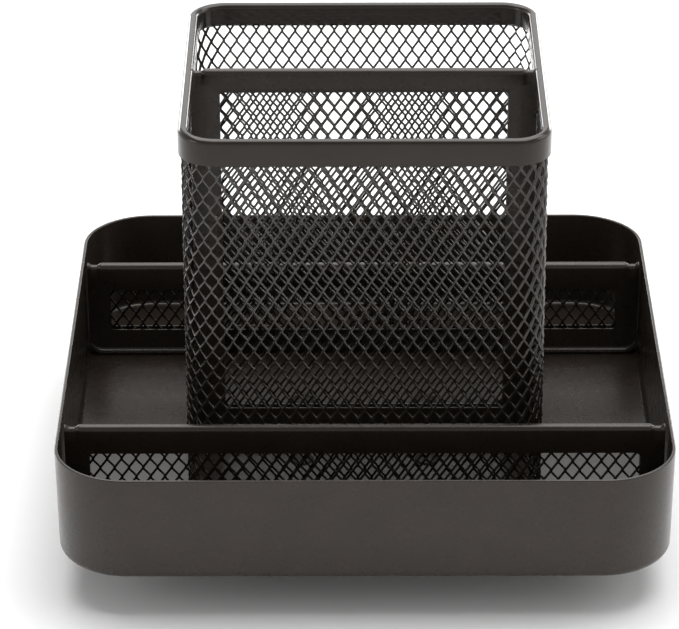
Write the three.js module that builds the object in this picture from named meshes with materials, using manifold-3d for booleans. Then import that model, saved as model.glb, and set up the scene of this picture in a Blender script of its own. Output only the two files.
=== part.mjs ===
// Rotating desk organizer: a square sheet-steel tray that turns on a ball-bearing base, with a tall
// square mesh cup in its middle and a mesh-windowed divider in front of the cup and behind it.
//
// Millimetres, +Z up. The origin is the centre of the footprint, on the desk's surface. The dividers
// run along X, and the front of the organizer faces -Y.

import * as THREE from 'three';
import { mergeVertices } from 'three/addons/utils/BufferGeometryUtils.js';
import Module from 'manifold-3d';

// ---------------------------------------------------------------------------------------------
// Driving dimensions
// ---------------------------------------------------------------------------------------------

// Room left between neighbouring pieces.
const GAP = 0.3;

// Tray: a pressed square pan with a slight draft and a rounded floor edge.
const TRAY_SIDE = 160;
const TRAY_CORNER_RADIUS = 19;
const TRAY_BOTTOM_Z = 11;
const TRAY_TOP_Z = 40;
const TRAY_SHEET = 0.9;
const TRAY_DRAFT = 0.5;
const TRAY_FLOOR_RADIUS = 2.2;

// Dividers: a folded double skin, 3 mm over all, that holds a mesh panel between its skins.
const FOLD_THICKNESS = 3;
const DIVIDER_Y = 48.6;
const DIVIDER_TOP_Z = 39.5;
const DIVIDER_HALF_LENGTH = 78.3;
const DIVIDER_CORNER_RADIUS = 4;
const DIVIDER_WINDOW = { halfWidth: 72, bottomZ: 19.1, topZ: 31.7 };

// Cup: a square tube of mesh under a folded rim, with a divider of its own across the middle.
const RIM_SIDE = 95.2;
const RIM_CORNER_RADIUS = 10;
const RIM_THICKNESS = 2.8;
const RIM_SKIN = 0.4;
const RIM_SLOT_MARGIN = 0.1;
const RIM_OUTER_BOTTOM_Z = 112.5;
const RIM_INNER_BOTTOM_Z = 113.8;
const CUP_TOP_Z = 119.6;
const CUP_DIVIDER_TOP_Z = 119.5;
const CUP_DIVIDER_WINDOW = { halfWidth: 38, bottomZ: 19.4, topZ: 113.2 };

// Mesh panels are plain sheets here, as thick as the mesh is over its strands.
const MESH_THICKNESS = 1;
const MESH_GRIP = 2.2;

// Fold ends: the fold stops short of each end, over a shallow notch beside the weld tab.
const NOTCH_WIDTH = 1.8;
const NOTCH_DEPTH = 1.2;
const WELD_TAB_WIDTH = 1.5;

// Turntable: two pressed plates with a ring of balls between them, on a central rivet.
const PLATE_SHEET = 1;
const BALL_RADIUS = 1.95;
const BALL_COUNT = 12;
const BALL_CIRCLE_RADIUS = 38;
const BALL_CENTRE_Z = 7;
const RACE_CLEARANCE = 0.2;
const BASE_RADIUS = 54;
const BASE_HUB_Z = 4.8;
const BASE_RIM_Z = 2.6;
const BASE_LIP_Z = 1.2;
const BASE_STEP_RADIUS = 43.5;
const TOP_PLATE_RADIUS = 45;
const TOP_PLATE_RACE_Z = 8.2;
const TOP_PLATE_SEAT_Z = 9.9;
const TOP_PLATE_SEAT = { innerRadius: 13, outerRadius: 31 };
const PLATE_STEP_RUN = 1.5;
const CAGE_HALF_WIDTH = 3.2;
const CAGE_THICKNESS = 1;
const CAGE_POCKET_GAP = 0.4;
const PIVOT_RADIUS = 2.5;
const PIVOT_HEAD_RADIUS = 5;
const WASHER_RADIUS = 7;
const TRAY_RIVET_RADIUS = 1.6;
const TRAY_RIVET_HEAD_RADIUS = 3.3;
const TRAY_RIVET_OFFSET = 17;
const RIVET_HEAD_HEIGHT = 1;
const RIVET_DOME_SHARE = 0.7;
const RIVET_SEAT_GAP = 0.1;
const FOOT_RADIUS = 4.2;
const FOOT_CIRCLE_RADIUS = 48.5;
const FOOT_EDGE = 0.6;

// Facets
const CORNER_STEPS = 6;
const FILLET_STEPS = 4;
const FOLD_STEPS = 8;
const RACE_STEPS = 4;
const ROUND_SEGMENTS = 40;
const SMALL_SEGMENTS = 16;
const BALL_SEGMENTS = { around: 10, over: 6 };

// Derived heights and half widths
const TRAY_FLOOR_Z = TRAY_BOTTOM_Z + TRAY_SHEET;
const PIECE_BOTTOM_Z = TRAY_FLOOR_Z + GAP;
const CUP_MESH_INSET = RIM_SKIN + GAP;
const CUP_MESH_HALF = RIM_SIDE / 2 - CUP_MESH_INSET;
const CUP_MESH_CORNER = RIM_CORNER_RADIUS - CUP_MESH_INSET;
const RIM_ROUND_Z = CUP_TOP_Z - RIM_THICKNESS / 2;
const RIM_SLOT_TOP_Z = RIM_ROUND_Z - RIM_SLOT_MARGIN;
const CUP_MESH_TOP_Z = RIM_SLOT_TOP_Z - GAP;

// ---------------------------------------------------------------------------------------------
// Materials
// ---------------------------------------------------------------------------------------------

function finish(color, roughness, metalness) {
  return () => new THREE.MeshStandardMaterial({ color, roughness, metalness });
}

const blackPowderCoat = finish(0x2a2725, 0.42, 0.0);
const zincPlate = finish(0xa9abad, 0.38, 0.9);
const bearingSteel = finish(0xd4d6d8, 0.15, 1.0);
const nylon = finish(0xe6e2d6, 0.55, 0.0);
const rubber = finish(0x1c1c1c, 0.85, 0.0);

// ---------------------------------------------------------------------------------------------
// Geometry helpers
// ---------------------------------------------------------------------------------------------

const wasm = await Module();
wasm.setup();

/** A closed geometry as a solid that can be cut and joined. */
function toSolid(geometry) {
  const bare = geometry.clone();
  bare.deleteAttribute('normal');
  bare.deleteAttribute('uv');
  const merged = mergeVertices(bare);
  return new wasm.Manifold(new wasm.Mesh({
    numProp: 3,
    vertProperties: new Float32Array(merged.attributes.position.array),
    triVerts: new Uint32Array(merged.index.array),
  }));
}

/** A solid as a geometry. */
function toGeometry(solid) {
  const mesh = solid.getMesh();
  const geometry = new THREE.BufferGeometry();
  geometry.setAttribute('position', new THREE.BufferAttribute(mesh.vertProperties, mesh.numProp));
  geometry.setIndex(new THREE.BufferAttribute(mesh.triVerts, 1));
  geometry.computeVertexNormals();
  return geometry;
}

/** The geometry that is left when each cutter is taken out of the body. */
function cut(body, cutters) {
  const solid = cutters.reduce((rest, cutter) => rest.subtract(toSolid(cutter)), toSolid(body));
  return toGeometry(solid);
}

/** The geometry that two bodies share. */
function common(first, second) {
  return toGeometry(toSolid(first).intersect(toSolid(second)));
}

/** A box between two corners. */
function block(low, high) {
  const size = high.map((value, axis) => value - low[axis]);
  const centre = high.map((value, axis) => (value + low[axis]) / 2);
  return new THREE.BoxGeometry(...size).translate(...centre);
}

/** An upright cylinder between two heights. */
function cylinder(radius, bottomZ, topZ, x = 0, y = 0) {
  return new THREE.CylinderGeometry(radius, radius, topZ - bottomZ, SMALL_SEGMENTS)
    .rotateX(Math.PI / 2)
    .translate(x, y, (bottomZ + topZ) / 2);
}

/**
 * A turned piece about the Z axis. The profile's points are [radius, height]. It runs outwards along
 * the underside and back along the top, and starts and ends on the axis or closes on itself.
 */
function turned(profile, segments = ROUND_SEGMENTS) {
  const points = profile.map(([radius, height]) => new THREE.Vector2(radius, height));
  return new THREE.LatheGeometry(points, segments).rotateX(Math.PI / 2);
}

/** Points on an arc, [x, y] pairs, with both ends included. Angles are in degrees. */
function arc(centreX, centreY, radius, startAngle, endAngle, steps) {
  return Array.from({ length: steps + 1 }, (_, step) => {
    const angle = THREE.MathUtils.degToRad(startAngle + (endAngle - startAngle) * step / steps);
    return [centreX + radius * Math.cos(angle), centreY + radius * Math.sin(angle)];
  });
}

/** A rounded square at one height, as a list of points that runs anticlockwise seen from above. */
function roundedSquare(half, radius, z) {
  const centre = half - radius;
  const corners = [[1, 1], [-1, 1], [-1, -1], [1, -1]];
  return corners.flatMap(([signX, signY], quarter) => (
    arc(signX * centre, signY * centre, radius, quarter * 90, quarter * 90 + 90, CORNER_STEPS)
      .map(([x, y]) => new THREE.Vector3(x, y, z))
  ));
}

/**
 * A skin through a stack of loops with equal point counts. A tube joins its last loop to its first;
 * any other stack is closed by flat faces on its first and last loops.
 */
function loft(loops, isTube) {
  const size = loops[0].length;
  const stack = isTube ? [...loops, loops[0]] : loops;
  const index = [];
  for (let level = 0; level + 1 < stack.length; level += 1) {
    for (let place = 0; place < size; place += 1) {
      const next = (place + 1) % size;
      const low = level * size;
      const high = low + size;
      index.push(low + place, low + next, high + next);
      index.push(low + place, high + next, high + place);
    }
  }
  if (!isTube) {
    const last = (stack.length - 1) * size;
    for (let place = 1; place + 1 < size; place += 1) {
      index.push(0, place + 1, place);
      index.push(last, last + place, last + place + 1);
    }
  }
  const geometry = new THREE.BufferGeometry().setFromPoints(stack.flat());
  geometry.setIndex(index);
  const merged = mergeVertices(geometry);
  merged.computeVertexNormals();
  return merged;
}

/** A profile of [inset, z] points carried round a square of the given half width and corner. */
function carriedRound(profile, half, corner, isTube) {
  const loops = profile.map(([inset, z]) => roundedSquare(half - inset, corner - inset, z));
  return loft(loops, isTube);
}

// ---------------------------------------------------------------------------------------------
// Tray
// ---------------------------------------------------------------------------------------------

/** The four points where the turntable is riveted to the tray. */
function trayRivetPlaces() {
  return [[-1, -1], [1, -1], [1, 1], [-1, 1]].map(([x, y]) => [
    x * TRAY_RIVET_OFFSET,
    y * TRAY_RIVET_OFFSET,
  ]);
}

/** Clearance holes for the tray rivets between two heights. */
function trayRivetHoles(bottomZ, topZ) {
  return trayRivetPlaces().map(([x, y]) => (
    cylinder(TRAY_RIVET_RADIUS + GAP, bottomZ, topZ, x, y)
  ));
}

/** The pan's quarter-round floor edge as [inset, z] points, from the floor up to the wall. */
function floorEdge(radius) {
  const centreInset = TRAY_DRAFT + TRAY_FLOOR_RADIUS;
  const centreZ = TRAY_BOTTOM_Z + TRAY_FLOOR_RADIUS;
  return arc(0, 0, radius, -90, 0, FILLET_STEPS)
    .map(([out, up]) => [centreInset - out, centreZ + up]);
}

function trayPan() {
  const profile = [
    ...floorEdge(TRAY_FLOOR_RADIUS),
    [0, TRAY_TOP_Z],
    [TRAY_SHEET, TRAY_TOP_Z],
    ...floorEdge(TRAY_FLOOR_RADIUS - TRAY_SHEET).reverse(),
  ];
  const pan = carriedRound(profile, TRAY_SIDE / 2, TRAY_CORNER_RADIUS, false);
  return cut(pan, trayRivetHoles(TRAY_BOTTOM_Z - GAP, TRAY_FLOOR_Z + GAP));
}

// ---------------------------------------------------------------------------------------------
// Dividers
// ---------------------------------------------------------------------------------------------

/** A folded strip along X: two flat skins closed by a half-round fold along the top. */
function foldedStrip(halfLength, bottomZ, topZ) {
  const half = FOLD_THICKNESS / 2;
  const section = new THREE.Shape();
  section.moveTo(-half, bottomZ);
  section.lineTo(half, bottomZ);
  section.lineTo(half, topZ - half);
  section.absarc(0, topZ - half, half, 0, Math.PI, false);
  const settings = { depth: 2 * halfLength, bevelEnabled: false, curveSegments: FOLD_STEPS };
  // The section's x and y become the strip's Y and Z, and its depth runs along X.
  return new THREE.ExtrudeGeometry(section, settings)
    .rotateX(Math.PI / 2)
    .rotateZ(Math.PI / 2)
    .translate(-halfLength, 0, 0);
}

/** A plate across the strip's thickness, cut to an outline of [x, z] points. */
function outlinePlate(outline) {
  const shape = new THREE.Shape(outline.map(([x, z]) => new THREE.Vector2(x, z)));
  const depth = 2 * FOLD_THICKNESS;
  return new THREE.ExtrudeGeometry(shape, { depth, bevelEnabled: false })
    .rotateX(Math.PI / 2)
    .translate(0, depth / 2, 0);
}

/** The right half of an outline, joined to its own mirror image. */
function mirrored(rightHalf) {
  return [...rightHalf, ...rightHalf.map(([x, z]) => [-x, z]).reverse()];
}

/** The window through a frame, and the pocket round it that grips the mesh panel. */
function windowCutters(window, grip) {
  const { halfWidth, bottomZ, topZ } = window;
  const throughY = FOLD_THICKNESS;
  const pocketY = MESH_THICKNESS / 2 + GAP;
  const reach = grip + GAP;
  return [
    block([-halfWidth, -throughY, bottomZ], [halfWidth, throughY, topZ]),
    block([-halfWidth - reach, -pocketY, bottomZ - reach], [halfWidth + reach, pocketY, topZ + reach]),
  ];
}

/** The mesh panel that fills a window and reaches into the pocket round it. */
function windowPanel(window, grip) {
  const { halfWidth, bottomZ, topZ } = window;
  const half = MESH_THICKNESS / 2;
  return block([-halfWidth - grip, -half, bottomZ - grip], [halfWidth + grip, half, topZ + grip]);
}

/** The notch and weld tab at a fold's right end, as [x, z] points from the end's top inwards. */
function foldEnd(endX, topZ) {
  const tabX = endX - WELD_TAB_WIDTH;
  const foldX = tabX - NOTCH_WIDTH;
  return [
    [endX, topZ],
    [tabX, topZ],
    [tabX, topZ - NOTCH_DEPTH],
    [foldX, topZ - NOTCH_DEPTH],
    [foldX, topZ],
  ];
}

function trayDividerFrame() {
  const radius = DIVIDER_CORNER_RADIUS;
  const endX = DIVIDER_HALF_LENGTH;
  const rightHalf = [
    ...arc(endX - radius, PIECE_BOTTOM_Z + radius, radius, -90, 0, FILLET_STEPS),
    ...foldEnd(endX, DIVIDER_TOP_Z),
  ];
  const strip = foldedStrip(endX, PIECE_BOTTOM_Z, DIVIDER_TOP_Z);
  const frame = common(strip, outlinePlate(mirrored(rightHalf)));
  return cut(frame, windowCutters(DIVIDER_WINDOW, MESH_GRIP));
}

function cupDividerFrame() {
  const endX = CUP_MESH_HALF - MESH_THICKNESS - GAP;
  const rimInsideX = RIM_SIDE / 2 - RIM_THICKNESS - GAP;
  const shoulderZ = RIM_INNER_BOTTOM_Z - GAP;
  const rightHalf = [
    [endX, PIECE_BOTTOM_Z],
    [endX, shoulderZ],
    [rimInsideX, shoulderZ],
    [rimInsideX, CUP_DIVIDER_TOP_Z - NOTCH_DEPTH],
    [rimInsideX - NOTCH_WIDTH, CUP_DIVIDER_TOP_Z - NOTCH_DEPTH],
    [rimInsideX - NOTCH_WIDTH, CUP_DIVIDER_TOP_Z],
  ];
  const strip = foldedStrip(endX, PIECE_BOTTOM_Z, CUP_DIVIDER_TOP_Z);
  const frame = common(strip, outlinePlate(mirrored(rightHalf)));
  return cut(frame, windowCutters(CUP_DIVIDER_WINDOW, MESH_GRIP));
}

// ---------------------------------------------------------------------------------------------
// Cup
// ---------------------------------------------------------------------------------------------

function cupMesh() {
  const profile = [
    [0, PIECE_BOTTOM_Z],
    [0, CUP_MESH_TOP_Z],
    [MESH_THICKNESS, CUP_MESH_TOP_Z],
    [MESH_THICKNESS, PIECE_BOTTOM_Z],
  ];
  return carriedRound(profile, CUP_MESH_HALF, CUP_MESH_CORNER, true);
}

/** A band folded over the mesh's top edge: two skins joined by a half-round top, the outer one longer. */
function cupRim() {
  const half = RIM_THICKNESS / 2;
  const innerSkin = RIM_THICKNESS - RIM_SKIN;
  const profile = [
    [0, RIM_OUTER_BOTTOM_Z],
    ...arc(half, RIM_ROUND_Z, half, 180, 0, FOLD_STEPS),
    [RIM_THICKNESS, RIM_INNER_BOTTOM_Z],
    [innerSkin, RIM_INNER_BOTTOM_Z],
    [innerSkin, RIM_SLOT_TOP_Z],
    [RIM_SKIN, RIM_SLOT_TOP_Z],
    [RIM_SKIN, RIM_OUTER_BOTTOM_Z],
  ];
  return carriedRound(profile, RIM_SIDE / 2, RIM_CORNER_RADIUS, true);
}

// ---------------------------------------------------------------------------------------------
// Turntable
// ---------------------------------------------------------------------------------------------

/**
 * Points where a pressed race crosses a plate's face: an arc about the balls' centre, cut off at the
 * height of the face. A positive side presses the race upwards, a negative one downwards.
 */
function raceArc(radius, faceZ, side) {
  const rise = Math.abs(faceZ - BALL_CENTRE_Z);
  const halfAngle = THREE.MathUtils.radToDeg(Math.acos(rise / radius));
  const middle = side * 90;
  const start = middle - side * halfAngle;
  const end = middle + side * halfAngle;
  const points = arc(BALL_CIRCLE_RADIUS, BALL_CENTRE_Z, radius, start, end, RACE_STEPS);
  return points.sort((first, second) => first[0] - second[0]);
}

function basePlate() {
  const inner = BALL_RADIUS + RACE_CLEARANCE;
  const hubTopZ = BASE_HUB_Z + PLATE_SHEET;
  const hole = PIVOT_RADIUS + GAP;
  return turned([
    [hole, BASE_HUB_Z],
    ...raceArc(inner + PLATE_SHEET, BASE_HUB_Z, -1),
    [BASE_STEP_RADIUS, BASE_HUB_Z],
    [BASE_STEP_RADIUS + PLATE_STEP_RUN, BASE_RIM_Z],
    [BASE_RADIUS - PLATE_SHEET, BASE_RIM_Z],
    [BASE_RADIUS - PLATE_SHEET, BASE_LIP_Z],
    [BASE_RADIUS, BASE_LIP_Z],
    [BASE_RADIUS, BASE_RIM_Z + PLATE_SHEET],
    [BASE_STEP_RADIUS + PLATE_STEP_RUN, BASE_RIM_Z + PLATE_SHEET],
    [BASE_STEP_RADIUS, hubTopZ],
    ...raceArc(inner, hubTopZ, -1).reverse(),
    [hole, hubTopZ],
    [hole, BASE_HUB_Z],
  ]);
}

function topPlate() {
  const inner = BALL_RADIUS + RACE_CLEARANCE;
  const { innerRadius, outerRadius } = TOP_PLATE_SEAT;
  const raceTopZ = TOP_PLATE_RACE_Z + PLATE_SHEET;
  const seatTopZ = TOP_PLATE_SEAT_Z + PLATE_SHEET;
  const hole = PIVOT_RADIUS + GAP;
  const plate = turned([
    [hole, TOP_PLATE_RACE_Z],
    [innerRadius - PLATE_STEP_RUN, TOP_PLATE_RACE_Z],
    [innerRadius, TOP_PLATE_SEAT_Z],
    [outerRadius, TOP_PLATE_SEAT_Z],
    [outerRadius + PLATE_STEP_RUN, TOP_PLATE_RACE_Z],
    ...raceArc(inner, TOP_PLATE_RACE_Z, 1),
    [TOP_PLATE_RADIUS, TOP_PLATE_RACE_Z],
    [TOP_PLATE_RADIUS, raceTopZ],
    ...raceArc(inner + PLATE_SHEET, raceTopZ, 1).reverse(),
    [outerRadius + PLATE_STEP_RUN, raceTopZ],
    [outerRadius, seatTopZ],
    [innerRadius, seatTopZ],
    [innerRadius - PLATE_STEP_RUN, raceTopZ],
    [hole, raceTopZ],
    [hole, TOP_PLATE_RACE_Z],
  ]);
  return cut(plate, trayRivetHoles(TOP_PLATE_SEAT_Z - GAP, seatTopZ + GAP));
}

/** Centre of each ball, as [x, y], evenly spaced round the race. */
function ballPlaces() {
  return Array.from({ length: BALL_COUNT }, (_, number) => {
    const angle = 2 * Math.PI * number / BALL_COUNT;
    return [BALL_CIRCLE_RADIUS * Math.cos(angle), BALL_CIRCLE_RADIUS * Math.sin(angle)];
  });
}

function ball() {
  return new THREE.SphereGeometry(BALL_RADIUS, BALL_SEGMENTS.around, BALL_SEGMENTS.over);
}

function ballCage() {
  const low = BALL_CENTRE_Z - CAGE_THICKNESS / 2;
  const high = BALL_CENTRE_Z + CAGE_THICKNESS / 2;
  const innerRadius = BALL_CIRCLE_RADIUS - CAGE_HALF_WIDTH;
  const outerRadius = BALL_CIRCLE_RADIUS + CAGE_HALF_WIDTH;
  const ring = turned([
    [innerRadius, low],
    [outerRadius, low],
    [outerRadius, high],
    [innerRadius, high],
    [innerRadius, low],
  ]);
  const pockets = ballPlaces().map(([x, y]) => (
    cylinder(BALL_RADIUS + CAGE_POCKET_GAP, low - GAP, high + GAP, x, y)
  ));
  return cut(ring, pockets);
}

/** A rivet with a flat head below and a slightly domed head above, on the Z axis. */
function rivet(shankRadius, headRadius, lowSeatZ, highSeatZ) {
  const domeRadius = headRadius * RIVET_DOME_SHARE;
  return turned([
    [0, lowSeatZ - RIVET_HEAD_HEIGHT],
    [headRadius, lowSeatZ - RIVET_HEAD_HEIGHT],
    [headRadius, lowSeatZ],
    [shankRadius, lowSeatZ],
    [shankRadius, highSeatZ],
    [headRadius, highSeatZ],
    [headRadius, highSeatZ + RIVET_HEAD_HEIGHT / 2],
    [domeRadius, highSeatZ + RIVET_HEAD_HEIGHT],
    [0, highSeatZ + RIVET_HEAD_HEIGHT],
  ], SMALL_SEGMENTS);
}

function pivotRivet() {
  const lowSeatZ = BASE_HUB_Z - RACE_CLEARANCE;
  const highSeatZ = TOP_PLATE_RACE_Z + PLATE_SHEET + RACE_CLEARANCE;
  return rivet(PIVOT_RADIUS, PIVOT_HEAD_RADIUS, lowSeatZ, highSeatZ);
}

function trayRivet() {
  const lowSeatZ = TOP_PLATE_SEAT_Z - RIVET_SEAT_GAP;
  const highSeatZ = TRAY_FLOOR_Z + RIVET_SEAT_GAP;
  return rivet(TRAY_RIVET_RADIUS, TRAY_RIVET_HEAD_RADIUS, lowSeatZ, highSeatZ);
}

/** The washer that keeps the two plates apart round the pivot. */
function pivotWasher() {
  const hole = PIVOT_RADIUS + GAP;
  const low = BASE_HUB_Z + PLATE_SHEET + RIVET_SEAT_GAP;
  const high = TOP_PLATE_RACE_Z - RIVET_SEAT_GAP;
  return turned([
    [hole, low],
    [WASHER_RADIUS, low],
    [WASHER_RADIUS, high],
    [hole, high],
    [hole, low],
  ], SMALL_SEGMENTS * 2);
}

/** A glued rubber pad with a softened lower edge. */
function foot() {
  return turned([
    [0, 0],
    [FOOT_RADIUS - FOOT_EDGE, 0],
    [FOOT_RADIUS, FOOT_EDGE],
    [FOOT_RADIUS, BASE_RIM_Z - RIVET_SEAT_GAP],
    [0, BASE_RIM_Z - RIVET_SEAT_GAP],
  ], SMALL_SEGMENTS);
}

// ---------------------------------------------------------------------------------------------
// Assembly
// ---------------------------------------------------------------------------------------------

/** One named piece, placed by its position. */
function piece(name, geometry, material, position = [0, 0, 0]) {
  const mesh = new THREE.Mesh(geometry, material());
  mesh.name = name;
  mesh.position.set(...position);
  return mesh;
}

/** What stays still on the desk: feet, base plate, pivot rivet and washer. */
function turntableBase() {
  const group = new THREE.Group();
  group.add(piece('base_plate', basePlate(), zincPlate));
  group.add(piece('pivot_rivet', pivotRivet(), zincPlate));
  group.add(piece('pivot_washer', pivotWasher(), nylon));
  for (let number = 1; number <= 4; number += 1) {
    const angle = Math.PI / 4 + number * Math.PI / 2;
    const place = [FOOT_CIRCLE_RADIUS * Math.cos(angle), FOOT_CIRCLE_RADIUS * Math.sin(angle), 0];
    group.add(piece(`rubber_foot_${number}`, foot(), rubber, place));
  }
  return group;
}

/** What rolls between the plates, at half the tray's speed. */
function ballRing() {
  const group = new THREE.Group();
  group.add(piece('ball_cage', ballCage(), nylon));
  ballPlaces().forEach(([x, y], index) => {
    const name = `bearing_ball_${String(index + 1).padStart(2, '0')}`;
    group.add(piece(name, ball(), bearingSteel, [x, y, BALL_CENTRE_Z]));
  });
  return group;
}

/** What turns with the tray. */
function organizer() {
  const group = new THREE.Group();
  group.add(piece('tray_pan', trayPan(), blackPowderCoat));
  for (const [side, y] of [['front', -DIVIDER_Y], ['rear', DIVIDER_Y]]) {
    const panel = windowPanel(DIVIDER_WINDOW, MESH_GRIP);
    group.add(piece(`${side}_divider_frame`, trayDividerFrame(), blackPowderCoat, [0, y, 0]));
    group.add(piece(`${side}_divider_mesh`, panel, blackPowderCoat, [0, y, 0]));
  }
  group.add(piece('cup_mesh', cupMesh(), blackPowderCoat));
  group.add(piece('cup_rim', cupRim(), blackPowderCoat));
  group.add(piece('cup_divider_frame', cupDividerFrame(), blackPowderCoat));
  const cupPanel = windowPanel(CUP_DIVIDER_WINDOW, MESH_GRIP);
  group.add(piece('cup_divider_mesh', cupPanel, blackPowderCoat));
  group.add(piece('turntable_top_plate', topPlate(), zincPlate));
  trayRivetPlaces().forEach(([x, y], index) => {
    group.add(piece(`tray_rivet_${index + 1}`, trayRivet(), blackPowderCoat, [x, y, 0]));
  });
  return group;
}

const deskOrganizer = new THREE.Group();
deskOrganizer.add(turntableBase(), ballRing(), organizer());

export default deskOrganizer;
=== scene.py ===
"""Looks of the rotating mesh desk organizer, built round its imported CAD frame.

Every length is in metres and every place comes from the frame's boxes. MM turns the sheet-metal sizes,
which read best in millimetres, into metres. Each piece has a function that makes its mesh, and the
assembly at the end says which body it rides on and which CAD node it stands for.
"""

import math

import bmesh
import bpy
from mathutils import Matrix, Vector


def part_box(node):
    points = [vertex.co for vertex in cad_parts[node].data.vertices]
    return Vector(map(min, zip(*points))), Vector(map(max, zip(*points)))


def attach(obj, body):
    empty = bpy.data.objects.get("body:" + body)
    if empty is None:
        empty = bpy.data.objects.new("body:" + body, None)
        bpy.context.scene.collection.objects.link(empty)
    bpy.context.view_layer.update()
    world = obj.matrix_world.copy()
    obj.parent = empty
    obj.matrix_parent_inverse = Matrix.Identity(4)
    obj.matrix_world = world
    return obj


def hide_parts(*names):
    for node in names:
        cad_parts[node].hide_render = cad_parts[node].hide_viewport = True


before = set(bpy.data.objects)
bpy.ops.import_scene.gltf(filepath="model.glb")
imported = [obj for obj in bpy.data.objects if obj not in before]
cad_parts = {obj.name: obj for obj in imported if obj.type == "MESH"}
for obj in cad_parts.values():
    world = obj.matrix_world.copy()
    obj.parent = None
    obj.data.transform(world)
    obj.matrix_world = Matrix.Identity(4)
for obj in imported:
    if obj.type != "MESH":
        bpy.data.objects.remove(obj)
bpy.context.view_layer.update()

MM = 0.001

# Tray: a pressed sheet
TRAY_CORNER = 19 * MM
TRAY_SHEET = 0.9 * MM
TRAY_DRAFT = 0.5 * MM
TRAY_FLOOR_RADIUS = 2.2 * MM
TRAY_EDGE_ROUND = 0.3 * MM
TRAY_EDGE_STEPS = 4

# Dividers: two skins with a fold on top, and on the tray a foot turned out from each skin
SKIN = 0.6 * MM
DIVIDER_CORNER = 4 * MM
SHOULDER_EDGE = 0.3 * MM
FLANGE_RUN = 1.7 * MM
FLANGE_BEND = 1.0 * MM
FLANGE_SHEET = 0.5 * MM
CUP_CLEARANCE = 0.4 * MM
SKIN_MARGIN = 0.02 * MM
DIVIDER_EDGE = 0.12 * MM

# Windows in the dividers
WINDOW_CORNER = 1.0 * MM
WINDOW_CORNER_STEPS = 4
DIVIDER_WINDOW = {"half_width": 72 * MM, "bottom": 19.1 * MM, "top": 31.7 * MM}
CUP_WINDOW = {"half_width": 38 * MM, "bottom": 19.4 * MM, "top": 113.2 * MM}

# Cup rim: a band folded over the mesh
RIM_CORNER = 10 * MM
RIM_THICKNESS = 2.8 * MM
RIM_SKIN = 0.4 * MM
RIM_INNER_RISE = 1.3 * MM
RIM_HEM = 0.15 * MM
RIM_SLOT_ROOM = 0.2 * MM

# The pinched end of a fold: how far it runs along and down, how far it dips and how thin it gets
PINCH_LENGTH = 4.0 * MM
PINCH_DROP = 2.5 * MM
PINCH_DIP = 0.65 * MM
PINCH_THINNING = 0.3
PINCH_STEPS = 16

# Expanded mesh: the sheet, its seam, the diamonds' pitch along a row and the rows' spacing, and a
# strand's width, thickness, lean, crown and bond
MESH_THICKNESS = 1.0 * MM
MESH_INSET = 0.7 * MM
SEAM_GAP = 0.2 * MM
CUP_PITCH = 3.576 * MM
CUP_ROW = 5.73 * MM
PANEL_PITCH = 3.75 * MM
PANEL_ROW = 5.5 * MM
STRAND_WIDTH = 0.54 * MM
STRAND_THICKNESS = 0.30 * MM
STRAND_TILT = 1.0
STRAND_CROWN = 0.04 * MM
BOND_LENGTH = 0.45 * MM
TRIM_TOLERANCE = 1e-7

# Where one bond of each sheet lies, as (along, up), and how far its rows climb along it. On the cup
# the bond is measured from the left end of the front side's straight stretch, and on the panels from
# the middle.
CUP_BOND = (1.89 * MM, 111.4 * MM)
PANEL_BONDS = {
    "front_divider_mesh": (-67.4 * MM, 29.5 * MM),
    "rear_divider_mesh": (-72.34 * MM, 28.88 * MM),
    "cup_divider_mesh": (-36 * MM, 100 * MM),
}
PANEL_SLOPES = {"front_divider_mesh": 0.0145, "rear_divider_mesh": 0, "cup_divider_mesh": 0}

# Turntable
PLATE_SHEET = 1.0 * MM
PLATE_STEP_RUN = 1.5 * MM
RACE_CLEARANCE = 0.2 * MM
BASE_STEP_RADIUS = 43.5 * MM
BASE_RIM = 2.6 * MM
SEAT_INNER_RADIUS = 13 * MM
SEAT_OUTER_RADIUS = 31 * MM
PIVOT_SHANK = 2.5 * MM
PIVOT_HOLE = 2.8 * MM
TRAY_RIVET_SHANK = 1.6 * MM
TRAY_RIVET_HOLE = 1.9 * MM
RIVET_HEAD = 1.0 * MM
CAGE_POCKET_GAP = 0.4 * MM
FOOT_EDGE = 0.6 * MM
FOOT_GROOVE = 0.25 * MM
HOLE_MARGIN = 1.0 * MM
BASE_PLATE_EDGE = 0.25 * MM
TOP_PLATE_EDGE = 0.2 * MM
CAGE_EDGE = 0.15 * MM
WASHER_EDGE = 0.2 * MM

# Points of a rivet's clinched lower head, as (share of a radius, share of the head's height). The
# first row's radius is the shank's, and the second row's is the head's. The dome of the upper head
# stops at an angle in degrees, short of its middle.
CLINCH_BY_SHANK = [(0.5, 0.6), (0.7, 0.15), (0.9, 0)]
CLINCH_BY_HEAD = [(0.85, 0), (1, 0.35), (1, 1)]
DOME_END = 85

# The edges of the groove ring under a foot, as shares of its radius
FOOT_RING = {"inner": (0.45, 0.5), "outer": (0.62, 0.67)}

# The powder coat's two blacks, the tint of its reflections, the heights of its orange peel and
# grain, and how far its roughness varies to each side
WARM_BLACK = (0.0215, 0.0160, 0.0118)
COOL_BLACK = (0.0165, 0.0125, 0.0094)
WARM_TINT = (1.0, 0.92, 0.88)
PEEL_HEIGHT = 0.00006
GRAIN_HEIGHT = 0.00002
SMEAR_SMOOTHER = 0.06
SMEAR_ROUGHER = 0.08
GLOSS_IOR = 1.35

# Least angles in degrees of the edges that are rounded, and of those that are shaded sharp. A sharp
# angle of 180 shades a piece smooth all over.
ROUNDED_ANGLE = 50
SHARP_ANGLE = 35
ALL_SMOOTH = 180

# Facets
CORNER_STEPS = 20
FOLD_STEPS = 12
FILLET_STEPS = 8
RACE_STEPS = 10
DOME_STEPS = 8
HOLE_STEPS = 32
ROUND_STEPS = 96
BALL_CUTS = 9
BEVEL_STEPS = 2

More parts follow.
